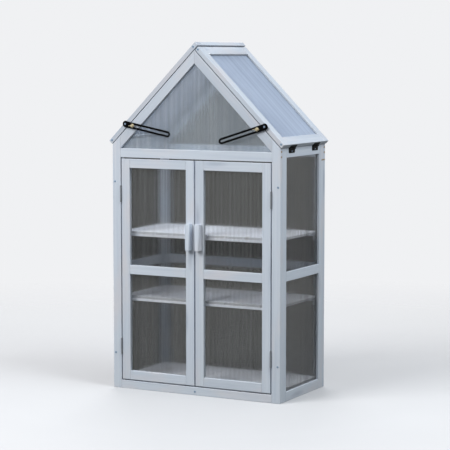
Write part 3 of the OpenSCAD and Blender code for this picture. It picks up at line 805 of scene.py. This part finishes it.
def rib_frame(node_name, low, high):
    """The width and height of a sheet's row of ribs, its drop, and a matrix from rib space to the sheet."""
    size = high - low
    foot = Vector(((low.x + high.x) / 2, (low.y + high.y) / 2, low.z + EDGE_MARGIN))
    across, through, up = ALONG_X, ALONG_Y, ALONG_Z
    width, height, drop = size.x, size.z - 2 * EDGE_MARGIN, 0.0
    # A side wall's sheet is thin along X, so its row runs along Y
    if size.x < 2 * SHEET_THICKNESS:
        across, through, width = ALONG_Y, -ALONG_X, size.y
    if "gable" in node_name:
        drop = math.tan(ROOF_LEAN)
        width = min(width, 2 * (height - EDGE_MARGIN) / drop)
    if "roof" in node_name:
        inward = 1 if "left" in node_name else -1
        up = Vector((inward * math.cos(ROOF_LEAN), 0, math.sin(ROOF_LEAN)))
        across, through, width = ALONG_Y, up.cross(ALONG_Y), size.y
        height = size.x / math.cos(ROOF_LEAN) - SHEET_THICKNESS - 2 * EDGE_MARGIN
        foot = (low + high) / 2 - up * height / 2
    place = Matrix((across, through, up)).transposed().to_4x4()
    place.translation = foot
    return width, height, drop, place


print("ribs keep", EDGE_MARGIN * 1000, "mm off the sheets' edges")

# %% Ribs inside every sheet
FLUTE_PITCH = 0.0057
RIB_DEPTH = 0.0006
RIB_THICKNESS = 0.0008


def grown_mesh(tree, settings, carrier=None):
    """The plain mesh that a Geometry Nodes tree makes, with its inputs set by their identifiers."""
    holder = add_object("holder", carrier or bpy.data.meshes.new("holder"))
    modifier = holder.modifiers.new("grow", "NODES")
    modifier.node_group = tree
    for socket in tree.interface.items_tree:
        if socket.in_out == "INPUT" and socket.name in settings:
            modifier[socket.identifier] = settings[socket.name]
    evaluated = holder.evaluated_get(bpy.context.evaluated_depsgraph_get())
    mesh = bpy.data.meshes.new_from_object(evaluated)
    bpy.data.objects.remove(holder)
    return mesh


ribs_by_body = {}
for node_name in sheet_nodes:
    body = body_name(node_name)
    finish = finish_for(node_name, RIB_FINISHES, wall_rib_painted_shade)
    if body not in ribs_by_body:
        ribs_by_body[body] = (bmesh.new(), finish)
    shape = merged_copy(node_name)
    for faces in islands(shape):
        width, height, drop, place = rib_frame(node_name, *box_of(faces))
        count = int((width - 2 * EDGE_MARGIN) / FLUTE_PITCH)
        strips_mesh = grown_mesh(ribs_tree, {
            "Count": count, "Pitch": FLUTE_PITCH, "Height": height, "Drop": drop, "Depth": RIB_DEPTH,
            "Rib": RIB_THICKNESS, "Material": finish,
        })
        strips_mesh.transform(place)
        ribs_by_body[body][0].from_mesh(strips_mesh)
    shape.free()

for body, (gathered, finish) in ribs_by_body.items():
    piece_name = body + "_sheet_ribs"
    add_piece(piece_name, mesh_from(gathered, piece_name, finish), body, "twin_wall_sheet")

# %% [markdown]
# ## Hinges, stays and wing nuts
# The roof's hinges and the stays are sheet steel with a black coat that has rubbed through at the edges. The
# doors' hinges are plain dull steel, the wing nuts are brass gone dull, and the screws are zinc or rusty.
# All have a fine speckle, so one function makes them, each with its own values. The shapes come from the
# frame, and again only the edges are eased. These pieces have round parts, so their faces are shaded
# smooth up to a sharp angle.

# %% Metal finishes
SPECKLE = (240.0, 240.0, 240.0)
SPECKLE_RANGE = (0.35, 0.65)
SPECKLE_DARK = 0.72
SPECKLE_STRENGTH = 0.15
SPECKLE_DEPTH = 0.0004
GLOSS_RANGE = (0.3, 0.7)
ROUGHNESS_SPAN = 0.2


def metal_material(name, coat_colour, bare_colour, wear, roughness, metallic, shine=0.5):
    """A speckled metal that is worn to a bare colour at its edges."""
    material, tree, shader = new_finish(name)
    place = node(tree, "ShaderNodeTexCoord").outputs["Object"]
    rubbing = {"Place": place, "Edge": own_value(tree, "arris", "Fac"), "Amount": wear}
    worn = node(tree, "ShaderNodeGroup", rubbing, node_tree=wear_group).outputs
    speckle = stretched_noise(tree, place, SPECKLE)
    dark = tuple(channel * SPECKLE_DARK for channel in coat_colour[:3]) + (1.0,)
    coat_tone = blend_colour(tree, ramp(tree, speckle, *SPECKLE_RANGE), dark, coat_colour)
    relief = {"Height": speckle, "Strength": SPECKLE_STRENGTH, "Distance": SPECKLE_DEPTH}
    feed(tree, shader, {
        "Base Color": blend_colour(tree, worn["Mask"], coat_tone, bare_colour),
        "Roughness": ramp(tree, speckle, *GLOSS_RANGE, roughness, roughness + ROUGHNESS_SPAN),
        "Normal": node(tree, "ShaderNodeBump", relief).outputs[0],
        "Metallic": metallic,
        "Specular IOR Level": shine,
    })
    return material


black_steel = metal_material("coated_steel", shade(4, 4, 5), shade(26, 26, 28),
                             wear=0.3, roughness=0.5, metallic=0.0, shine=0.03)
grey_steel = metal_material("dull_steel", shade(128, 132, 138), shade(160, 162, 164),
                            wear=0.4, roughness=0.5, metallic=0.3, shine=0.3)
brass = metal_material("dull_brass", shade(172, 161, 130), shade(208, 199, 174),
                       wear=0.6, roughness=0.36, metallic=0.35)
zinc = metal_material("dull_zinc", shade(124, 150, 174), shade(162, 178, 194),
                      wear=0.4, roughness=0.4, metallic=0.35)
bright_zinc = metal_material("bright_zinc", shade(128, 144, 164), shade(156, 170, 188),
                             wear=0.4, roughness=0.28, metallic=0.6)
rusty = metal_material("rusty_steel", shade(150, 128, 92), shade(176, 156, 120),
                       wear=0.3, roughness=0.6, metallic=0.2)
metals = (black_steel, grey_steel, brass, zinc, bright_zinc, rusty)
print("metal finishes:", ", ".join(metal.name for metal in metals))

# %% Dressed metal pieces
METAL_EDGE = 0.0003
METAL_STEPS = 1
SMOOTH_ANGLE = math.radians(35)
METAL_SLOTS = {"leaves": "black_steel", "fittings": "black_steel", "stay": "black_steel", "nut": "brass"}
METAL_FINISHES = {"door": grey_steel, "nut": brass}


def dressed_metal(node_name, finish, slot):
    """A metal piece with eased edges, shaded smooth over its round parts."""
    shape = merged_copy(node_name)
    ease_edges(shape, METAL_EDGE, METAL_STEPS)
    piece_name = node_name + "_metal"
    mesh = mesh_from(shape, piece_name, finish)
    mesh.shade_smooth()
    mesh.set_sharp_from_angle(angle=SMOOTH_ANGLE)
    return add_piece(piece_name, mesh, body_name(node_name), slot, node_name)


metal_pieces = []
for node_name in sorted(frame["nodes"]):
    kind = node_name.split("_")[-1]
    if kind in METAL_SLOTS:
        finish = finish_for(node_name, METAL_FINISHES, black_steel)
        metal_pieces.append(dressed_metal(node_name, finish, METAL_SLOTS[kind]))
print(len(metal_pieces), "metal pieces dressed")

# %% [markdown]
# ## Screws and corrugated strips
# Countersunk cross-head screws show at the post joints, in the ends of the roof laths, in the hinge leaves,
# at the pivots of the stays and, gone rusty, in the edges of the posts. A short corrugated strip, driven in
# on edge, ties each back post to the side wall. Copies could be placed by hand, but a change to the form
# would then have to be made in each. So each form is modelled once, and a Geometry Nodes tree sets a copy on
# every point, turned to face the way that the point says.

# %% One screw head
HEAD_SIDES = 16
ARM_EVERY = 4
# Each ring has a radius, a height in the recess's arms and a height between them
HEAD_RINGS = ((0.22, -0.25, 0.3), (0.6, 0.05, 0.3), (0.9, 0.22, 0.22), (1.0, 0.05, 0.05), (1.0, -0.5, -0.5))


def pattern_object(name, shape):
    """An object to copy from, with its faces pointing outwards."""
    bmesh.ops.recalc_face_normals(shape, faces=shape.faces)
    return add_object(name, mesh_from(shape, name))


def screw_head():
    """A screw head of radius 1 that faces up Z: rings of points, sunk where the cross recess has its arms."""
    shape = bmesh.new()
    centre = shape.verts.new((0, 0, HEAD_RINGS[0][1]))
    rings = []
    for radius, arm_height, face_height in HEAD_RINGS:
        ring = []
        for side in range(HEAD_SIDES):
            turn = math.tau * side / HEAD_SIDES
            height = arm_height if side % ARM_EVERY == 0 else face_height
            ring.append(shape.verts.new((radius * math.cos(turn), radius * math.sin(turn), height)))
        rings.append(ring)
    for side in range(HEAD_SIDES):
        after = (side + 1) % HEAD_SIDES
        shape.faces.new((centre, rings[0][side], rings[0][after]))
        for inner, outer in zip(rings, rings[1:]):
            shape.faces.new((inner[side], outer[side], outer[after], inner[after]))
    shape.faces.new(list(reversed(rings[-1])))
    return pattern_object("screw_head", shape)


screw_pattern = screw_head()
print("screw head:", len(screw_pattern.data.polygons), "faces")

# %% One corrugated strip
STRIP_STEPS = 32
STRIP_WAVES = 4
STRIP_SWAY = 0.05
STRIP_HALF = 0.06
STRIP_RISE = 0.015


def corrugated_strip():
    """A wavy strip of length 1 that lies along Y and shows its edge up Z."""
    shape = bmesh.new()
    corners = ((-STRIP_HALF, -STRIP_RISE), (-STRIP_HALF, STRIP_RISE), (STRIP_HALF, STRIP_RISE),
               (STRIP_HALF, -STRIP_RISE))
    rows = []
    for step in range(STRIP_STEPS + 1):
        along = step / STRIP_STEPS - 0.5
        sway = STRIP_SWAY * math.sin(math.tau * STRIP_WAVES * along)
        rows.append([shape.verts.new((sway + offset, along, height)) for offset, height in corners])
    for row_verts, next_verts in zip(rows, rows[1:]):
        for corner in range(len(corners)):
            following = (corner + 1) % len(corners)
            shape.faces.new((row_verts[corner], row_verts[following], next_verts[following],
                             next_verts[corner]))
    shape.faces.new(rows[0])
    shape.faces.new(list(reversed(rows[-1])))
    return pattern_object("corrugated_strip", shape)


strip_pattern = corrugated_strip()
print("corrugated strip:", len(strip_pattern.data.polygons), "faces")

# %% The tree that sets fasteners on points
set_tree, set_in, set_out = tree_with_sockets(
    "set_fasteners", "GeometryNodeTree",
    {"Points": "Geometry", "Pattern": "Object", "Size": "Float", "Turn": "Float", "Seed": "Int",
     "Material": "Material"},
    {"Geometry": "Geometry"},
)
form = node(set_tree, "GeometryNodeObjectInfo", {"Object": set_in["Pattern"], "As Instance": True})
facing = node(set_tree, "GeometryNodeInputNamedAttribute", {"Name": "facing"}, data_type="FLOAT_VECTOR")
aim = node(set_tree, "FunctionNodeAlignRotationToVector", {"Vector": facing.outputs["Attribute"]}, axis="Z")
# A random float lies between inputs 2 and 3
chance_turn = node(set_tree, "FunctionNodeRandomValue", {2: 0.0, 3: set_in["Turn"], "Seed": set_in["Seed"]},
                   data_type="FLOAT")
spin = node(set_tree, "FunctionNodeAxisAngleToRotation",
            {"Axis": (0, 0, 1), "Angle": chance_turn.outputs[1]})
spun = node(set_tree, "FunctionNodeRotateRotation",
            {"Rotation": aim.outputs[0], "Rotate By": spin.outputs[0]}, rotation_space="LOCAL")
copy_size = node(set_tree, "ShaderNodeCombineXYZ", {axis: set_in["Size"] for axis in "XYZ"})
copies = node(set_tree, "GeometryNodeInstanceOnPoints",
              {"Points": set_in["Points"], "Instance": form.outputs["Geometry"],
               "Rotation": spun.outputs[0], "Scale": copy_size.outputs[0]})
real_copies = node(set_tree, "GeometryNodeRealizeInstances", {"Geometry": copies.outputs[0]})
coated_copies = node(set_tree, "GeometryNodeSetMaterial",
                     {"Geometry": real_copies.outputs[0], "Material": set_in["Material"]})
feed(set_tree, set_out, {"Geometry": coated_copies.outputs[0]})
print("set_fasteners:", len(set_tree.nodes), "nodes")

# %% Fasteners for a body
SCREW_RADIUS = 0.0042
SEED = 7
FORWARD = Vector((0, -1, 0))
BACKWARD = Vector((0, 1, 0))


def carrier_mesh(points):
    """A mesh of loose points that carry the direction each fastener faces."""
    mesh = bpy.data.meshes.new("points")
    mesh.from_pydata([place for place, direction in points], [], [])
    facing_data = mesh.attributes.new("facing", "FLOAT_VECTOR", "POINT").data
    for item, (place, direction) in zip(facing_data, points):
        item.vector = direction
    return mesh


def set_fasteners(name, points, pattern, size, turn, finish, body):
    """One piece of fasteners for a body, each a copy of the pattern that is turned by chance up to turn."""
    settings = {"Pattern": pattern, "Size": size, "Turn": turn, "Seed": SEED, "Material": finish}
    mesh = grown_mesh(set_tree, settings, carrier_mesh(points))
    mesh.materials.clear()
    mesh.materials.append(finish)
    return add_piece(name, mesh, body, "black_steel")


def set_screws(name, points, finish, body, radius=SCREW_RADIUS):
    """One piece of screws for a body."""
    return set_fasteners(name, points, screw_pattern, radius, math.tau, finish, body)


print("screws are", round(SCREW_RADIUS * 2000, 1), "mm across")

# %% Screws and strips on the carcass
POST_SCREW_INSET = 0.010
POST_SCREW_HEIGHTS = (0.142, 0.828)
SILL_SCREW_HEIGHT = 0.014
EDGE_SCREW_HEIGHTS = (0.943, 0.963)
EDGE_SCREW_INSET = 0.009
LEAF_SCREW_RISE = 0.0065
LEAF_SCREW_RADIUS = SCREW_RADIUS * 0.65
STRIP_LENGTH = 0.033
STRIP_INSET = 0.018
STRIP_HEIGHT = 0.914

front_low, front_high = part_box("front_posts")
back_low, back_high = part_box("back_posts")
frame_points = [
    ((0, front_low.y, SILL_SCREW_HEIGHT), FORWARD),
    ((0, back_high.y, SILL_SCREW_HEIGHT), BACKWARD),
]
edge_points = []
strip_points = []
for side in (-1, 1):
    outward = Vector((side, 0, 0))
    inset_x = side * (front_high.x - POST_SCREW_INSET)
    for height in POST_SCREW_HEIGHTS:
        frame_points.append(((inset_x, front_low.y, height), FORWARD))
        frame_points.append(((inset_x, back_high.y, height), BACKWARD))
    for height in EDGE_SCREW_HEIGHTS:
        for depth in (front_low.y + EDGE_SCREW_INSET, back_high.y - EDGE_SCREW_INSET):
            edge_points.append(((side * front_high.x, depth, height), outward))
    strip_points.append(((side * front_high.x, back_high.y - STRIP_INSET, STRIP_HEIGHT), outward))

leaf_shape = merged_copy("roof_hinge_wall_leaves")
leaf_points = []
for faces in islands(leaf_shape):
    low, high = box_of(faces)
    height = low.z + LEAF_SCREW_RISE
    leaf_x = max((vert.co.x for face in faces for vert in face.verts if vert.co.z < height), key=abs)
    outward = Vector((1 if low.x > 0 else -1, 0, 0))
    leaf_points.append(((leaf_x, (low.y + high.y) / 2, height), outward))
leaf_shape.free()

set_screws("frame_screws", frame_points, zinc, "carcass")
set_screws("post_edge_screws", edge_points, rusty, "carcass")
set_screws("roof_hinge_screws", leaf_points, bright_zinc, "carcass", LEAF_SCREW_RADIUS)
set_fasteners("corrugated_strips", strip_points, strip_pattern, STRIP_LENGTH, 0.0, rusty, "carcass")
print(len(frame_points) + len(edge_points) + len(leaf_points), "screws and", len(strip_points), "strips")

# %% Screws on the roof panels
ROOF_THICKNESS = 0.018
ROOF_SCREW_DEPTH = 0.010
ROOF_SCREW_RUNS = {"left": (0.011, 0.530), "right": (0.011, 0.515)}

pivots = {joint["name"]: joint["pos_m"] for joint in frame["joints"] if "pos_m" in joint}
for name, side in (("left", -1), ("right", 1)):
    low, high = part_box(name + "_roof_stiles")
    eave_x = max(low.x, high.x, key=abs) - side * ROOF_THICKNESS * math.sin(ROOF_LEAN)
    roof_points = []
    for run in ROOF_SCREW_RUNS[name]:
        x = eave_x - side * (run - ROOF_SCREW_DEPTH) * math.cos(ROOF_LEAN)
        z = low.z + (run + ROOF_SCREW_DEPTH) * math.sin(ROOF_LEAN)
        roof_points += [((x, low.y, z), FORWARD), ((x, high.y, z), BACKWARD)]
    set_screws(name + "_roof_screws", roof_points, zinc, name + "_roof")
    pivot_x, pivot_y, pivot_z = pivots[name + "_stay_pivot"]
    pivot_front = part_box(name + "_roof_fittings")[0].y
    stay_points = [((pivot_x, pivot_front, pivot_z), FORWARD)]
    set_screws(name + "_stay_screw", stay_points, bright_zinc, name + "_roof")
    print(name, "roof panel:", len(roof_points) + len(stay_points), "screws")

# %% [markdown]
# ## Clearing up
# The patterns are removed.

# %% Remove the patterns
bpy.data.objects.remove(screw_pattern)
bpy.data.objects.remove(strip_pattern)
